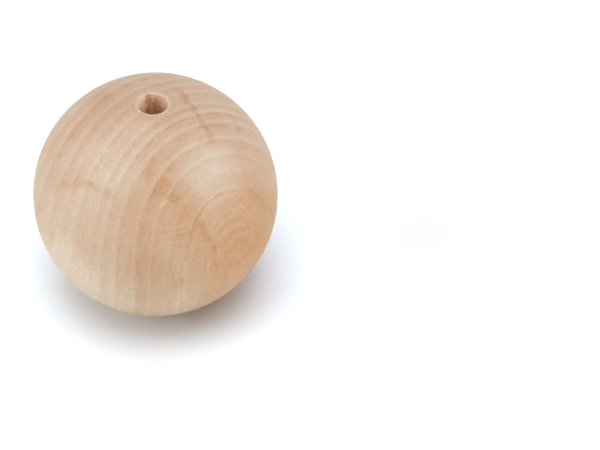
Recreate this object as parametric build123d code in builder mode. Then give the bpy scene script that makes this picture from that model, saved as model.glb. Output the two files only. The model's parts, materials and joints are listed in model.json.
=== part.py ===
"""A wooden bead: a ball turned from one piece of wood and drilled straight through its middle.

The frame is the bead's own: the origin is the centre of the ball, and +Z runs along the bore.
It stands on the edge of its lower mouth, with the other mouth on top. Lengths are in millimetres.
"""

import os
from math import sqrt

from build123d import *

# The ball, as it comes off the lathe
ball_diameter = 60.0

# The bore, for a cord or a dowel
bore_diameter = 7.2

# The sharp edge taken off where the bore meets the ball, at both mouths
mouth_chamfer = 0.2

ball_radius = ball_diameter / 2
bore_radius = bore_diameter / 2

# Each mouth starts on the ball and slopes in to the bore at 45 degrees
mouth_radius = bore_radius + mouth_chamfer
mouth_height = sqrt(ball_radius**2 - mouth_radius**2)
bore_end = mouth_height - mouth_chamfer

with BuildPart() as bead:
    # Half of the bead's section, to one side of the bore
    with BuildSketch(Plane.XZ):
        with BuildLine():
            outside = ThreePointArc(
                (mouth_radius, mouth_height), (ball_radius, 0), (mouth_radius, -mouth_height)
            )
            Polyline(outside @ 1, (bore_radius, -bore_end), (bore_radius, bore_end), outside @ 0)
        make_face()

    # The section turns about the bore's axis
    revolve(axis=Axis.Z)

bead.part.label = "bead"

os.makedirs("parts", exist_ok=True)
export_step(bead.part, "parts/bead.step")
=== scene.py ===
"""The looks of a wooden bead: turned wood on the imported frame, on a white floor in soft studio light.

The frame is the part's own, in metres: the origin is the ball's centre and +Z runs up the bore.
The figure of the wood is set out in millimetres and angles, as it would be measured on the wood.
"""

import json
from math import asin, cos, hypot, pi, radians, sin, tan
from types import SimpleNamespace

import bpy
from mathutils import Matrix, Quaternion, Vector, noise


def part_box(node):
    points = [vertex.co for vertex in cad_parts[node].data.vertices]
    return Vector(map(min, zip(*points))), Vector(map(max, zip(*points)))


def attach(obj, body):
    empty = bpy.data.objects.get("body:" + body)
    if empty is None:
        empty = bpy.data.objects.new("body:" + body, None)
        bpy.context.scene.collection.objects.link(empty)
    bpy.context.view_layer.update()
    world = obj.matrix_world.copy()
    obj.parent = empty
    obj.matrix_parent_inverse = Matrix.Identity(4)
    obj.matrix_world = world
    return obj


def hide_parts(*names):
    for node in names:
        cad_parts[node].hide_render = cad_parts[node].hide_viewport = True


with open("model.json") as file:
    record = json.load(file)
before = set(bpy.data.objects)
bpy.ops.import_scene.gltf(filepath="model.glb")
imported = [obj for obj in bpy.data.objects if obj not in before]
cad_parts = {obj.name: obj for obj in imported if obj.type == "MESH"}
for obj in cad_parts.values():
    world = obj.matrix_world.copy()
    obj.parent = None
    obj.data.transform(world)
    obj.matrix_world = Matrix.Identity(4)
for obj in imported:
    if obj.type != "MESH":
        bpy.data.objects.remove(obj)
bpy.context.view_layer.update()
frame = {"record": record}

mm = 0.001

# The turned piece, as the frame gives it
lowest_corner, highest_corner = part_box("bead")
bore = frame["record"]["mounts"][0]["dims"]
bore_radius = bore["r_mm"] * mm
bore_end = bore["length_mm"] * mm / 2
mouth_height = highest_corner[2]
mouth_radius = bore_radius + mouth_height - bore_end
ball_radius = hypot(mouth_radius, mouth_height)
floor_height = lowest_corner[2]

# How finely the section is drawn and turned
steps_around = 340
steps_outside = 190
steps_bore = 56
steps_corner = 4

# Wear of the mouths: how far back their corners are eased, how uneven their edge is, in waves that are
# drawn out along the bore, and how deep, how close and how long the tears in the drilled wall are
corner_ease = 0.1 * mm
edge_wear = 0.05 * mm
edge_reach = 2 * (mouth_radius - bore_radius)
edge_wave = 1.1 * mm
edge_drawn_out = 0.2
bore_tear = 0.07 * mm
tear_closeness = 9
tear_length = 9 * mm

# The tree: the way its fibres run, a point of its heart line, and how slowly the wood changes along
# the fibres, as a share of how it changes across them
fibre_way = Vector((0.13, -0.482, 0.863)).normalized()
heart_point = Vector((18.6, -16.53, -12.13))
fibre_share = 0.06

# The wood's own tone: it is pale at 0 and brown at 1, and may go past both
plain_tone = 0.28
pale_wood = (0.745, 0.590, 0.460, 1)
brown_wood = (0.560, 0.236, 0.070, 1)

# The figure, which is rings, flecks and fibres, is golden: it takes this much of each colour away
figure_takes = (0.34, 0.84, 1.41)

# Noise in the wood: swells to a millimetre, levels of detail, and how rough the finer levels are
wander_noise = (0.3, 2.0, 0.5)
fray_noise = (1.6, 2.0, 0.5)
dash_noise = (0.42, 2.0, 0.5)
broad_noise = (0.1, 1.0, 0.5)
band_noise = (0.6, 2.0, 0.5)
ragged_noise = (0.5, 3.0, 0.5)
patch_noise = (0.8, 2.0, 0.5)
blotch_noise = (1.0, 2.0, 0.5)
fibre_noise = (1.9, 3.0, 0.6)
mottle_noise = (0.3, 3.0, 0.6)
streak_noise = (0.9, 2.0, 0.5)
fleck_noise = (1.0, 3.0, 0.6)
speckle_noise = (3.0, 1.0, 0.5)
grain_noise = (3.2, 2.0, 0.5)
sanding_noise = (0.12, 1.0, 0.5)
line_noise = (1.0, 2.0, 0.5)
torn_noise = (1.0, 3.0, 0.5)
pit_noise = (1.6, 2.0, 0.5)

# Noise comes between 0 and 1, mostly near the middle, and is spread about 0
noise_spread = 4

# Growth rings from the heart outwards: end of the ring, width of its late wood, how dark that is,
# and how pale the next ring starts
growth_rings = (
    (4.6, 0.9, 0.05, 0.08),
    (6.7, 1.2, 0.10, 0.11),
    (8.7, 0.8, 0.09, 0.12),
    (10.0, 0.6, 0.05, 0.07),
    (12.9, 1.8, 0.07, 0.05),
    (14.8, 0.9, 0.11, 0.06),
    (18.4, 0.9, 0.04, 0.05),
    (22.7, 1.0, 0.08, 0.10),
    (26.7, 2.2, 0.14, 0.13),
    (31.0, 2.2, 0.11, 0.14),
    (34.1, 1.1, 0.15, 0.14),
    (36.6, 1.2, 0.11, 0.11),
    (40.8, 1.0, 0.08, 0.11),
    (43.9, 1.2, 0.07, 0.09),
    (47.0, 1.6, 0.13, 0.11),
    (50.8, 2.0, 0.15, 0.13),
    (53.4, 1.0, 0.06, 0.12),
    (57.2, 1.2, 0.08, 0.08),
)

# Across a ring's end: where the late wood is darkest, half the width of the edge, where the next
# ring's pale start is palest and ends, and how strongly both show
late_top = -0.35
ring_edge = 0.13
early_top = 0.5
early_end = 1.7
late_strength = 0.8
early_strength = 0.9

# How the rings' lines wander and fray, and how their late wood breaks into dashes
ring_wander = 0.12
ring_fray = 0.07
dash_least = 0.3
dash_gain = 1.2
dash_range = (-0.4, 0.6)

# Where the rings aren't round: a bulge close to the heart and a dent further out, each with the
# angles round the heart, in radians, and the reach from it over which it comes or goes
bulge = 2.4
bulge_angles = (0.73, 1.22)
bulge_end = (16, 28)
dent = 0.8
dent_angles = (-0.35, -0.08)
dent_start = (36, 48)

# Where the rings are strong or weak. They are uneven all over and in bands along the fibres, stronger
# on the side of the heart that faces the ball's middle, and weaker on its averted side and further
# round. Each pair is a range of angle round the heart, in radians, or of reach from it
broad_vigour = 0.3
band_vigour = 0.45
facing_start = (-0.8, -0.55)
facing_end = (0.15, 0.45)
facing_near_gain = 0.3
facing_near_end = (13, 18)
facing_far_gain = 0.3
facing_far_start = (20, 26)
averted_loss = 0.75
averted_end = (11, 17)
side_loss = 0.3
side_angles = (0.05, 0.3)
side_start = (31, 37)
low_loss = 0.4
low_angles = (0.5, 0.85)
low_start = (22, 30)

# Broad warm and pale areas across the grain, from the heart outwards, among them a painted sheen along
# the lower left limb and pale areas that are partly painted highlight: place out from the heart and
# round it, full and outer radius, strength
tone_and_sheen_areas = (
    (0, -6, 2, 7, 0.14),
    (1, -7, 6, 16, 0.34),
    (1.5, 7.5, 1.5, 4, 0.09),
    (2, 9, 3, 9, 0.10),
    (3.4, 15.2, 1, 3.5, -0.12),
    (6, 6, 3, 13, 0.18),
    (7, 19.5, 1.5, 4.5, -0.09),
    (8, -14, 2, 9, 0.06),
    (8.5, 17.5, 1.5, 5, 0.12),
    (8.9, 12, 1.5, 4.5, -0.09),
    (11, -12, 2, 6, 0.08),
    # Painted sheen: a pale strip along the lower left limb, where the white floor is reflected
    (12, 62, 35, 39, -0.18),
    (12.5, 15.5, 1.5, 5, -0.07),
    (13.5, 20.5, 2.5, 6, 0.10),
    (13.5, 25.8, 1.5, 4, -0.12),
    (14, -19, 1.5, 5.5, 0.12),
    (17, 4.5, 1.5, 5, 0.10),
    (17, 13, 5, 14, 0.21),
    (18.4, -14.7, 1, 3.5, 0.13),
    # Partly pale wood and partly a painted highlight, where the right sheen lamp shines
    (20, -9.5, 2, 6, -0.12),
    (22, -4, 2.5, 7.5, -0.18),
    (27, 3, 3, 9, 0.12),
    (28, -15.5, 1.5, 4, 0.12),
    # Painted sheen: a pale strip along the lower left limb, where the white floor is reflected
    (28, 60, 31.5, 34.5, -0.17),
    (32, 28.9, 1.5, 4.5, -0.12),
    (34.5, 15, 3, 7, -0.09),
    # Partly pale wood and partly a painted highlight, where the left sheen lamp shines
    (36, 10, 3, 9, -0.13),
    (37, 24, 3, 9, -0.08),
    (38, -9, 3, 10, 0.13),
    (39.5, 0.5, 2, 5.5, -0.12),
    (44.4, 12.6, 2, 6, -0.08),
    (47, -2, 3, 11, 0.14),
    (50, 10, 3, 9, 0.07),
    (52, -1, 2, 6, 0.10),
)

# Stains that follow the rays: angle in degrees and reach at one end and at the other, half width,
# strength
ray_stains = (
    (-23.5, 26.8, -21.0, 43.5, 0.8, 0.32),
    (26.0, 47.0, 24.0, 40.6, 1.3, 0.22),
    (24.0, 40.6, 25.8, 35.0, 1.1, 0.22),
    (-40.0, 28.5, -38.0, 33.5, 0.6, 0.17),
    (-43.0, 25.0, -40.0, 26.6, 0.8, 0.12),
    (22.0, 13.4, 31.0, 10.5, 1.2, 0.17),
    (32.0, 9.8, 58.0, 8.0, 1.0, 0.16),
)

# Brown patches that each fill some of a ring: from and to in reach, from and to in degrees, strength;
# then how softly they start and end, and how their ends wander, in radians
brown_patches = (
    (28.3, 30.9, 10.0, 15.0, 0.22),
    (28.9, 30.9, 4.5, 8.5, 0.12),
    (23.4, 26.7, 10.0, 19.0, 0.21),
    (24.0, 26.7, 0.5, 5.0, 0.10),
    (19.8, 22.7, 12.5, 20.0, 0.19),
    (14.2, 15.0, 12.0, 29.0, 0.18),
)
patch_fade = 0.8
patch_ends = 1.6
patch_wander = 0.03

# How ragged the areas and stains are, how blotchy the stains are, and where they start along the fibres
ragged_edge = 0.8
blotch_mean = 0.9
blotch_spread = 0.4
stain_start = (-16, -2)

# How soft the edges of a stain, burn or scuff are, as shares of its half width
stroke_full_share = 0.2
stroke_outer_share = 1.3

# Fine texture: fibres, mottle, specks, flecks along the rings, and more flecks and streaks inside the
# inner rings; where flecks and mottle are both dark, they are darker still
fibre_strength = 0.035
mottle_strength = 0.04
speckle_strength = 0.09
speckle_shift = (7.0, 3.0, 5.0)
fleck_across = 1.5
fleck_along = 0.35
fleck_strength = 0.05
inner_end = (16, 26)
inner_flecks = 0.03
inner_streaks = 0.06
dark_flecks = (0.2, 1.0)
dark_mottle = (-0.2, 0.6)
dark_strength = 0.14
grain_strength = 0.085

# Small pale scuffs: angle round the bore and height angle, in degrees, at one end and at the other,
# half width, strength
scuffs = (
    (2.5, 39.4, 6.5, 40.8, 0.50, 0.24),
    (-90.0, 48.5, -88.5, 47.0, 0.40, 0.22),
    (46.5, 26.9, 48.5, 24.4, 0.40, 0.16),
    (-11.0, 29.0, 9.6, 28.5, 0.22, 0.09),
    (10.0, 28.8, 16.5, 28.4, 0.60, 0.11),
    (-2.4, 30.2, -1.6, 29.8, 0.50, 0.10),
    (-14.5, 22.5, -12.0, 22.1, 0.45, 0.14),
)

# Places where the sanding shows most: angle round the bore and height angle, in degrees, full and
# outer radius
sanded_spots = (
    (6, 33, 3, 8),
    (-39, 28, 2, 6),
    (-38, 62, 2, 6),
)

# Sanding lines round the bore, which come and go over the ball and show more in the sanded spots
sanding_range = (-0.5, 0.5)
line_across = 1.8
line_along = 0.12
line_strength = 0.06
sanded_gain = 0.1

# Marks that the turning left round the mouths: broad ones that fade away from the mouth, and faint
# rings on one side, at these distances from the axis along the ball
turned_across = 1.1
turned_along = 0.05
turned_end = (6, 14)
turned_strength = 0.11
turning_rings = (6.3, 8.6)
turning_half_width = 0.4
turning_side = (-2, 8)
turning_strength = 0.08

# The pale rim of the mouths, a worn edge with a painted highlight on it, and the edge of the drilled
# wall, by distance from that wall
pale_rim_and_highlight = (0, 0.35, 0.8)
pale_rim_and_highlight_strength = 0.28
wall_edge = (0.06, 0.18)

# The drilled wall: its colours, the pale one paler than the wood as painted light near the mouths, the
# depth over which it turns brown, partly the wood and partly painted shade, and its tears and pits
pale_lit_wall = (0.97, 0.76, 0.55, 1)
brown_shaded_wall = (0.64, 0.33, 0.16, 1)
brown_and_shade_depths = (2.8, 8.0)
torn_across = 0.9
torn_along = 0.35
torn_strength = 0.12
pit_strength = 0.35

# Burns along the drilled wall: place across at the top and at the bottom, depth at the top, half width
drill_burns = (
    (-1.1, -1.15, -0.3, 0.85),
    (0.75, 0.6, 3.0, 1.2),
)
burn_depth = 9
burn_strength = 0.75
burn_torn = 0.45
burn_pitted = 0.6

# Relief and gloss of the bare wood
fibre_relief = 0.5
line_relief = 0.4
relief_strength = 0.13
relief_depth = 0.05 * mm
wood_roughness = 0.4
fibre_roughness = 0.04
wood_specular = 0.5


class Wire:
    """A socket of a node tree, or the bare tree. Its operators add Math nodes."""

    def __init__(self, tree, socket=None):
        self.tree = tree
        self.socket = socket

    def node(self, kind, settings=(), sockets=(), output=0):
        """Adds a node: its settings first, then the values or links of its sockets."""
        made = self.tree.nodes.new("ShaderNode" + kind)
        for name, value in dict(settings).items():
            setattr(made, name, value)
        for name, value in dict(sockets).items():
            if isinstance(value, Wire):
                self.tree.links.new(value.socket, made.inputs[name])
            else:
                made.inputs[name].default_value = value
        return Wire(self.tree, made.outputs[output] if made.outputs else None)

    def math(self, operation, *values):
        return self.node("Math", {"operation": operation}, enumerate(values))

    def vector(self, operation, *values, output=0):
        return self.node("VectorMath", {"operation": operation}, enumerate(values), output)

    def __add__(self, other):
        return self.math("ADD", self, other)

    def __radd__(self, other):
        return self.math("ADD", other, self)

    def __sub__(self, other):
        return self.math("SUBTRACT", self, other)

    def __rsub__(self, other):
        return self.math("SUBTRACT", other, self)

    def __mul__(self, other):
        return self.math("MULTIPLY", self, other)

    def __rmul__(self, other):
        return self.math("MULTIPLY", other, self)


def rise(value, low, high):
    """From 0 at low to 1 at high, with soft ends."""
    ends = {"Value": value, "From Min": low, "From Max": high}
    return value.node("MapRange", {"interpolation_type": "SMOOTHSTEP"}, ends)


def fall(value, low, high):
    """From 1 at low to 0 at high, with soft ends."""
    return 1 - rise(value, low, high)


def hump(value, start, top, end):
    """From 0 at start to 1 at top and back to 0 at end."""
    return rise(value, start, top) * fall(value, top, end)


def dot(place, way):
    """How far a place lies along a way."""
    return place.vector("DOT_PRODUCT", place, tuple(way), output="Value")


def distance(place, other):
    """How far a place is from another, which may be fixed."""
    return place.vector("DISTANCE", place, other, output="Value")


def length(x, y):
    """The distance that x and y make at right angles."""
    return x.math("SQRT", x * x + y * y)


def scaled(vector, factor):
    """A vector or colour times a factor. At least one of the two is a wire."""
    source = vector if isinstance(vector, Wire) else factor
    return source.node("VectorMath", {"operation": "SCALE"}, {0: vector, "Scale": factor})


def joined(x, y, z):
    """Three values as one place."""
    source = next(part for part in (x, y, z) if isinstance(part, Wire))
    return source.node("CombineXYZ", sockets=enumerate((x, y, z)))


def cloud(place, scale, detail, roughness):
    """Soft noise about 0, mostly between -1 and 1."""
    made = place.node(
        "TexNoise",
        {"normalize": True},
        {"Vector": place, "Scale": scale, "Detail": detail, "Roughness": roughness},
    )
    return made * noise_spread - noise_spread / 2


def blend(share, first, second, ends=True):
    """One colour or wire of colour into another, which ends at both or goes on past them."""
    settings = {"data_type": "RGBA", "clamp_factor": ends}
    return share.node("Mix", settings, {0: share, 6: first, 7: second}, output=2)


def stroke(place, start, end, half_width):
    """1 along the line from start to end, and 0 past its soft edges."""
    run = end - start
    offset = place.vector("SUBTRACT", place, tuple(start))
    share = dot(offset, run / run.length_squared)
    share = share.math("MINIMUM", share.math("MAXIMUM", share, 0), 1)
    away = distance(offset, scaled(tuple(run), share))
    return fall(away, stroke_full_share * half_width, stroke_outer_share * half_width)


# The bead's mesh
def eased_corner(before, corner, after):
    """A corner of the section, worn to a small curve."""
    start = corner + (before - corner).normalized() * corner_ease
    end = corner + (after - corner).normalized() * corner_ease
    points = []
    for step in range(steps_corner + 1):
        share = step / steps_corner
        points.append(start.lerp(corner, share).lerp(corner.lerp(end, share), share))
    return points


def bead_section():
    """Half of the section as one closed run of (radius, height): down the outside, up the bore."""
    edge_angle = asin(mouth_radius / ball_radius)
    ease_angle = corner_ease / ball_radius
    outside = []
    for step in range(steps_outside + 1):
        share = step / steps_outside
        angle = edge_angle + ease_angle + (pi - 2 * (edge_angle + ease_angle)) * share
        outside.append(Vector((ball_radius * sin(angle), ball_radius * cos(angle))))
    upper_edge = Vector((mouth_radius, mouth_height))
    upper_end = Vector((bore_radius, bore_end))
    lower_edge = Vector((mouth_radius, -mouth_height))
    lower_end = Vector((bore_radius, -bore_end))
    points = outside[1:-1]
    points += eased_corner(outside[-2], lower_edge, lower_end)
    points += eased_corner(lower_edge, lower_end, upper_end)
    for step in range(1, steps_bore):
        points.append(lower_end.lerp(upper_end, step / steps_bore))
    points += eased_corner(lower_end, upper_end, upper_edge)
    points += eased_corner(upper_end, upper_edge, outside[1])
    return points


def worn(point):
    """A point of the bead, moved a little where it is on a mouth's edge or on the drilled wall."""
    reach = Vector((point.x, point.y, 0))
    way = reach.normalized()
    near_edge = max(0.0, 1 - abs(reach.length - mouth_radius) / edge_reach)
    wave = noise.noise(Vector((point.x, point.y, point.z * edge_drawn_out)) / edge_wave)
    moved = point + way * edge_wear * near_edge * wave
    if reach.length < bore_radius + corner_ease:
        tear = Vector((way.x * tear_closeness, way.y * tear_closeness, point.z / tear_length))
        moved = moved + way * bore_tear * noise.noise(tear)
    return moved


def bead_mesh():
    """The section turned about the bore's axis."""
    section = bead_section()
    corners = []
    for step in range(steps_around):
        angle = 2 * pi * step / steps_around
        for radius, height in section:
            corners.append(worn(Vector((radius * cos(angle), radius * sin(angle), height))))
    faces = []
    count = len(section)
    for step in range(steps_around):
        here = step * count
        beside = (step + 1) % steps_around * count
        for point in range(count):
            below = (point + 1) % count
            faces.append((here + point, here + below, beside + below, beside + point))
    mesh = bpy.data.meshes.new("bead_turned")
    mesh.from_pydata(corners, [], faces)
    mesh.shade_smooth()
    mesh.update()
    return mesh


# The wood
def grain_axes():
    """Two ways across the fibres: out from the heart through the ball, and round the heart."""
    off_line = heart_point - fibre_way * heart_point.dot(fibre_way)
    outward = -off_line.normalized()
    return outward, fibre_way.cross(outward)


def find_spot(tree):
    """Where a point of the wood is, in millimetres and radians: on the bead, and in the tree."""
    spot = SimpleNamespace()
    spot.place = scaled(tree.node("TexCoord", output="Object"), 1 / mm)
    spot.x = dot(spot.place, (1, 0, 0))
    spot.y = dot(spot.place, (0, 1, 0))
    spot.z = dot(spot.place, (0, 0, 1))
    spot.height = spot.z.math("ABSOLUTE", spot.z)

    # From the bore: straight out from its axis and its wall, and along the ball
    from_axis = length(spot.x, spot.y)
    spot.from_wall = from_axis - bore_radius / mm
    spot.from_pole = from_axis.math("ARCTAN2", from_axis, spot.height) * (ball_radius / mm)

    # In the tree: along its fibres, and from its heart line
    outward, around = grain_axes()
    off_heart = spot.place.vector("SUBTRACT", spot.place, tuple(heart_point))
    spot.along = dot(spot.place, fibre_way)
    spot.out = dot(off_heart, outward)
    spot.side = dot(off_heart, around)
    spot.reach = length(spot.out, spot.side)
    spot.angle = spot.side.math("ARCTAN2", spot.side, spot.out)
    spot.fibres = joined(spot.out, spot.side, spot.along * fibre_share)
    return spot


def ring_tone(reach, dashes):
    """Late wood darkens in dashes towards each ring's end, and the next ring starts pale."""
    tone = 0
    for end, late_width, dark, pale in growth_rings:
        late = hump(reach, end - late_width, end + late_top, end + ring_edge)
        early = hump(reach, end - ring_edge, end + early_top, end + early_end)
        tone = tone + late * dashes * (dark * late_strength) - early * (pale * early_strength)
    return tone


def ring_vigour(spot):
    """How strong the rings are from place to place."""
    facing = rise(spot.angle, *facing_start) * fall(spot.angle, *facing_end)
    averted = (1 - facing) * fall(spot.reach, *averted_end)
    side = rise(spot.angle, *side_angles) * rise(spot.reach, *side_start)
    low = rise(spot.angle, *low_angles) * rise(spot.reach, *low_start)
    vigour = 1 + broad_vigour * cloud(spot.place, *broad_noise)
    vigour = vigour + band_vigour * cloud(spot.fibres, *band_noise)
    vigour = vigour * (1 + facing_near_gain * facing * fall(spot.reach, *facing_near_end))
    vigour = vigour * (1 + facing_far_gain * facing * rise(spot.reach, *facing_far_start))
    return vigour * (1 - averted_loss * averted) * (1 - side_loss * side) * (1 - low_loss * low)


def ring_figure(spot, wander):
    """The growth rings, strong in some places and broken in others."""
    dashes = dash_least + dash_gain * rise(cloud(spot.place, *dash_noise), *dash_range)
    swell = bulge * rise(spot.angle, *bulge_angles) * fall(spot.reach, *bulge_end)
    swell = swell - dent * fall(spot.angle, *dent_angles) * rise(spot.reach, *dent_start)
    return ring_tone(spot.reach - swell + wander, dashes) * ring_vigour(spot)


def area_tone_and_sheen(across):
    """The warm heart and the other broad areas, among them a painted sheen and painted highlights."""
    tone = 0
    for out, side, full, outer, strength in tone_and_sheen_areas:
        tone = tone + fall(distance(across, (out, side, 0)), full, outer) * strength
    return tone


def stain_tone(across):
    """Brown stains that run along rays."""
    tone = 0
    for angle, reach, far_angle, far_reach, half_width, strength in ray_stains:
        start = Vector((reach * cos(radians(angle)), reach * sin(radians(angle)), 0))
        end = Vector((far_reach * cos(radians(far_angle)), far_reach * sin(radians(far_angle)), 0))
        tone = tone + stroke(across, start, end, half_width) * strength
    return tone


def patch_tone(reach, angle):
    """Brown patches, soft on the inside and sharp at the ring's end."""
    tone = 0
    for start, end, low, high, strength in brown_patches:
        across = rise(reach, start - patch_fade, start + patch_fade)
        across = across * fall(reach, end - ring_edge, end + ring_edge)
        along = rise(angle, radians(low - patch_ends), radians(low + patch_ends))
        along = along * fall(angle, radians(high - patch_ends), radians(high + patch_ends))
        tone = tone + across * along * strength
    return tone


def broad_tone_and_sheen(spot, wander):
    """The plain wood with its broad areas, painted sheen and highlights among them, and stains, all
    with ragged edges.
    """
    ragged_out = spot.out + cloud(spot.fibres, *ragged_noise) * ragged_edge
    ragged_side = spot.side + cloud(spot.place, *ragged_noise) * ragged_edge
    ragged_angle = spot.angle + cloud(spot.place, *patch_noise) * patch_wander
    ragged = joined(ragged_out, ragged_side, 0)
    stains = stain_tone(ragged) + patch_tone(spot.reach + wander, ragged_angle)
    blotches = blotch_mean + blotch_spread * cloud(spot.place, *blotch_noise)
    return plain_tone + area_tone_and_sheen(ragged) + stains * blotches * rise(spot.along, *stain_start)


def fine_figure(spot, fine_fibre):
    """Fibres, mottle, specks, streaks, and flecks that lie along the rings."""
    mottle = cloud(spot.fibres, *mottle_noise)
    streaks = cloud(spot.fibres, *streak_noise)
    along_rings = joined(spot.reach * fleck_across, spot.out * fleck_along, spot.side * fleck_along)
    flecks = cloud(along_rings, *fleck_noise)
    speckle = cloud(spot.place.vector("ADD", spot.place, speckle_shift), *speckle_noise)
    inner = fall(spot.reach, *inner_end)
    dark = rise(flecks, *dark_flecks) * rise(mottle, *dark_mottle)
    figure = fine_fibre * fibre_strength + mottle * mottle_strength + speckle * speckle_strength
    figure = figure + flecks * (fleck_strength + inner_flecks * inner)
    return figure + streaks * inner * inner_streaks + dark * dark_strength


def on_ball(around, up):
    """A point of the ball in millimetres: angle round the bore from the front, and height angle."""
    level = cos(radians(up))
    way = Vector((level * sin(radians(around)), -level * cos(radians(around)), sin(radians(up))))
    return way * (ball_radius / mm)


def scuff_tone(place):
    """The small pale scuffs."""
    tone = 0
    for around, up, far_around, far_up, half_width, strength in scuffs:
        mark = stroke(place, on_ball(around, up), on_ball(far_around, far_up), half_width)
        tone = tone + mark * strength
    return tone


def sanded_share(place):
    """How far a place is in one of the sanded spots."""
    share = 0
    for around, up, full, outer in sanded_spots:
        share = share + fall(distance(place, tuple(on_ball(around, up))), full, outer)
    return share


def sanding_lines(spot):
    """Fine lines round the bore's axis, in patches."""
    patches = rise(cloud(spot.place, *sanding_noise), *sanding_range)
    around = joined(spot.from_pole * line_across, spot.x * line_along, spot.y * line_along)
    return cloud(around, *line_noise) * patches


def worked_figure(spot, lines):
    """What the sanding and the turning left: lines, and marks and faint rings round the mouths."""
    around = joined(spot.from_pole * turned_across, spot.x * turned_along, spot.y * turned_along)
    turned = cloud(around, *line_noise) * fall(spot.from_pole, *turned_end)
    figure = lines * (line_strength + sanded_gain * sanded_share(spot.place))
    figure = figure + turned * turned_strength
    one_side = rise(spot.y - spot.x, *turning_side)
    for away in turning_rings:
        ring = hump(spot.from_pole, away - turning_half_width, away, away + turning_half_width)
        figure = figure + ring * one_side * turning_strength
    return figure


def wall_colour(spot):
    """The drilled wall: torn and pale at the mouths, with painted light there; brown inside, partly the
    wood and partly painted shade; and brown where the drill burnt it.
    """
    depth = mouth_height / mm - spot.height
    torn = cloud(joined(spot.x * torn_across, spot.y * torn_across, spot.z * torn_along), *torn_noise)
    pits = cloud(spot.place, *pit_noise)
    # Browner with depth: partly the drilled wood and partly painted shade in the bore
    brown = rise(depth, *brown_and_shade_depths) + torn_strength * torn + pit_strength * pits
    down_wall = joined(spot.x + torn * burn_torn, depth + pits * burn_pitted, 0)
    for across, far_across, from_depth, half_width in drill_burns:
        start = Vector((across, from_depth, 0))
        end = Vector((far_across, burn_depth, 0))
        brown = brown + stroke(down_wall, start, end, half_width) * burn_strength
    return blend(brown, pale_lit_wall, brown_shaded_wall)


def wood_material():
    """Bare sanded wood, with the drilled wall of the bore."""
    material = bpy.data.materials.new("wood_bare_sanded")
    material.use_nodes = True
    material.node_tree.nodes.clear()
    spot = find_spot(Wire(material.node_tree))
    wander = cloud(spot.place, *wander_noise) * ring_wander
    wander = wander + cloud(spot.fibres, *fray_noise) * ring_fray
    fine_fibre = cloud(spot.fibres, *fibre_noise)
    lines = sanding_lines(spot)

    # The wood's tone, with painted sheen and highlights in its pale areas and at the rim, from which
    # the figure takes some of each colour
    tone = broad_tone_and_sheen(spot, wander) - scuff_tone(spot.place)
    # The rim round each mouth: paler from wear, with a painted highlight along its edge
    tone = tone - hump(spot.from_wall, *pale_rim_and_highlight) * pale_rim_and_highlight_strength
    figure = ring_figure(spot, wander) + fine_figure(spot, fine_fibre) + worked_figure(spot, lines)
    kept = figure.vector("SUBTRACT", (1, 1, 1), scaled(figure_takes, figure))
    wood = blend(tone, pale_wood, brown_wood, ends=False)
    wood = wood.vector("MULTIPLY", wood, kept)
    wood = scaled(wood, 1 + cloud(spot.place, *grain_noise) * grain_strength)
    wood = blend(fall(spot.from_wall, *wall_edge), wood, wall_colour(spot))

    relief = fine_fibre * fibre_relief + lines * line_relief
    bump = {"Strength": relief_strength, "Distance": relief_depth, "Height": relief}
    finish = {
        "Base Color": wood,
        "Roughness": wood_roughness + fine_fibre * fibre_roughness,
        "Specular IOR Level": wood_specular,
        "Normal": relief.node("Bump", sockets=bump),
    }
    surface = wood.node("BsdfPrincipled", sockets=finish)
    surface.node("OutputMaterial", sockets={"Surface": surface})
    return material


def make_bead():
    bead = bpy.data.objects.new("bead_turned", bead_mesh())
    bpy.context.scene.collection.objects.link(bead)
    bead.data.materials.append(wood_material())
    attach(bead, "root")
    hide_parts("bead")
    return bead


# The floor: half its side, and its white as the camera sees it and as it lights the bead
floor_half = 1.6
floor_shown = (1.31, 1.45, 1.61, 1)
floor_bounce = (0.99, 1.035, 0.96, 1)

# The light of the dome
dome_level = 0.07

# Lamps: name, way to it, level that it gives, size, whether it shows as a sheen, and what it lights
lamp_distance = 1.65
lamps = (
    ("top_softbox", (0, -0.42, 0.9), 0.365, 1.1, False, ("bead",)),
    ("left_softbox", (-0.9, 0, 0.42), 0.20, 1.2, False, ("bead",)),
    ("left_fill", (-0.9, -0.2, 0.4), 0.30, 1.2, False, ("bead",)),
    ("right_fill", (0.87, -0.2, 0.45), 0.47, 1.2, False, ("bead",)),
    ("front_fill", (0, -0.99, 0.12), 0.115, 0.4, False, ("bead",)),
    ("back_fill", (0, 0.8, 0.6), 0.22, 0.9, False, ("bead",)),
    ("left_sheen", (-0.66, 0.22, 0.71), 0.07, 0.75, True, ("bead",)),
    ("right_sheen", (0.765, -0.26, 0.58), 0.07, 0.75, True, ("bead",)),
    ("floor_top", (0, -0.12, 1), 0.37, 1.1, False, ("floor",)),
    ("floor_wide", (0.10, -0.06, 1), 0.52, 1.9, False, ("floor",)),
    ("floor_left", (-0.9, -0.15, 0.38), 0.38, 1.2, False, ("floor",)),
)


def floor_material():
    """White, as bright as paper in full light, and clear from below."""
    material = bpy.data.materials.new("floor_white")
    material.use_nodes = True
    material.node_tree.nodes.clear()
    tree = Wire(material.node_tree)
    seen = tree.node("LightPath", output="Is Camera Ray")
    white = blend(seen, floor_bounce, floor_shown)
    matt = white.node("BsdfDiffuse", sockets={"Color": white})
    clear = tree.node("BsdfTransparent")
    below = tree.node("NewGeometry", output="Backfacing")
    surface = below.node("MixShader", sockets={0: below, 1: matt, 2: clear})
    surface.node("OutputMaterial", sockets={"Surface": surface})
    return material


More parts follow.
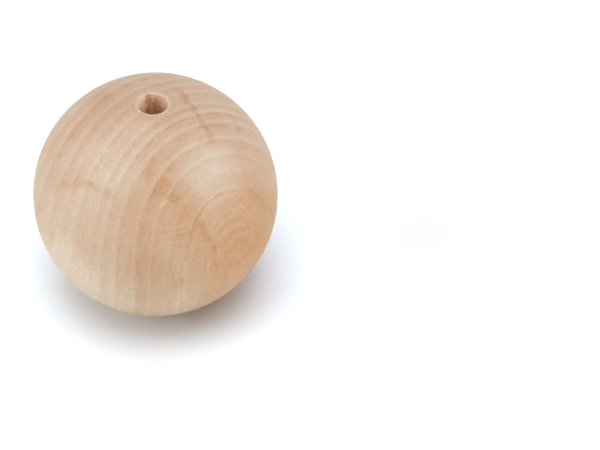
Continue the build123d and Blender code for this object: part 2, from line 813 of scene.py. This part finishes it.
def make_floor():
    mesh = bpy.data.meshes.new("floor")
    corner_ways = ((-1, -1), (1, -1), (1, 1), (-1, 1))
    corners = [(x * floor_half, y * floor_half, floor_height) for x, y in corner_ways]
    mesh.from_pydata(corners, [], [(0, 1, 2, 3)])
    floor = bpy.data.objects.new("floor", mesh)
    bpy.context.scene.collection.objects.link(floor)
    floor.data.materials.append(floor_material())
    return floor


def make_world():
    """An even dome that looks plain white to the eye and in reflections."""
    world = bpy.data.worlds.new("studio")
    bpy.context.scene.world = world
    world.use_nodes = True
    world.node_tree.nodes.clear()
    tree = Wire(world.node_tree)
    seen = tree.node("LightPath", output="Is Camera Ray")
    mirrored = tree.node("LightPath", output="Is Glossy Ray")
    through = tree.node("LightPath", output="Is Transmission Ray")
    white = seen.math("MINIMUM", seen + mirrored + through, 1)
    dome = white.node("Background", sockets={"Strength": dome_level + white * (1 - dome_level)})
    dome.node("OutputWorld", sockets={"Surface": dome})


def make_lamp(name, way, level, size, shows, lit):
    """A square lamp that lights what faces it to the given level."""
    lamp = bpy.data.lights.new(name, "AREA")
    lamp.size = size
    lamp.energy = level * (pi * lamp_distance) ** 2
    box = bpy.data.objects.new(name, lamp)
    bpy.context.scene.collection.objects.link(box)
    way = Vector(way).normalized()
    box.location = way * lamp_distance
    box.rotation_mode = "QUATERNION"
    box.rotation_quaternion = way.to_track_quat("Z", "Y")
    box.visible_camera = False
    box.visible_glossy = shows
    box.light_linking.receiver_collection = bpy.data.collections.new(name + "_lights")
    for thing in lit:
        box.light_linking.receiver_collection.objects.link(thing)


def make_lights(things):
    make_world()
    for name, way, level, size, shows, lit in lamps:
        make_lamp(name, way, level, size, shows, [things[thing] for thing in lit])


# The camera: where the bead's outline is in the photo, in pixels, the way it is looked at and from how
# many radii away, and how far the bore leans to the side
photo_size = (600, 450)
outline_centre = (155.7, 193.9)
outline_radius = 121.5
view_elevation = radians(44.4)
view_radii = 14.2
bore_lean = radians(2.0)
sensor_width = 36
clip_shares = (0.1, 10)


def make_camera():
    """A camera that looks past the bead, so that its outline falls on its place in the picture."""
    data = bpy.data.cameras.new("camera")
    camera = bpy.data.objects.new("camera", data)
    bpy.context.scene.collection.objects.link(camera)
    away = view_radii * ball_radius
    focal_pixels = outline_radius / tan(asin(1 / view_radii))
    data.sensor_width = sensor_width
    data.lens = focal_pixels / photo_size[0] * sensor_width
    data.clip_start = clip_shares[0] * away
    data.clip_end = clip_shares[1] * away
    back = Vector((0, -cos(view_elevation), sin(view_elevation)))
    aim = (-back).to_track_quat("-Z", "Y")
    roll = Quaternion((0, 0, 1), -bore_lean)
    right = (outline_centre[0] - (photo_size[0] - 1) / 2) / focal_pixels
    down = (outline_centre[1] - (photo_size[1] - 1) / 2) / focal_pixels
    pan = Vector((right, -down, -1)).rotation_difference(Vector((0, 0, -1)))
    camera.location = back * away
    camera.rotation_mode = "QUATERNION"
    camera.rotation_quaternion = aim @ roll @ pan
    bpy.context.scene.camera = camera


make_lights({"bead": make_bead(), "floor": make_floor()})
make_camera()
bpy.context.scene.view_settings.view_transform = "Standard"
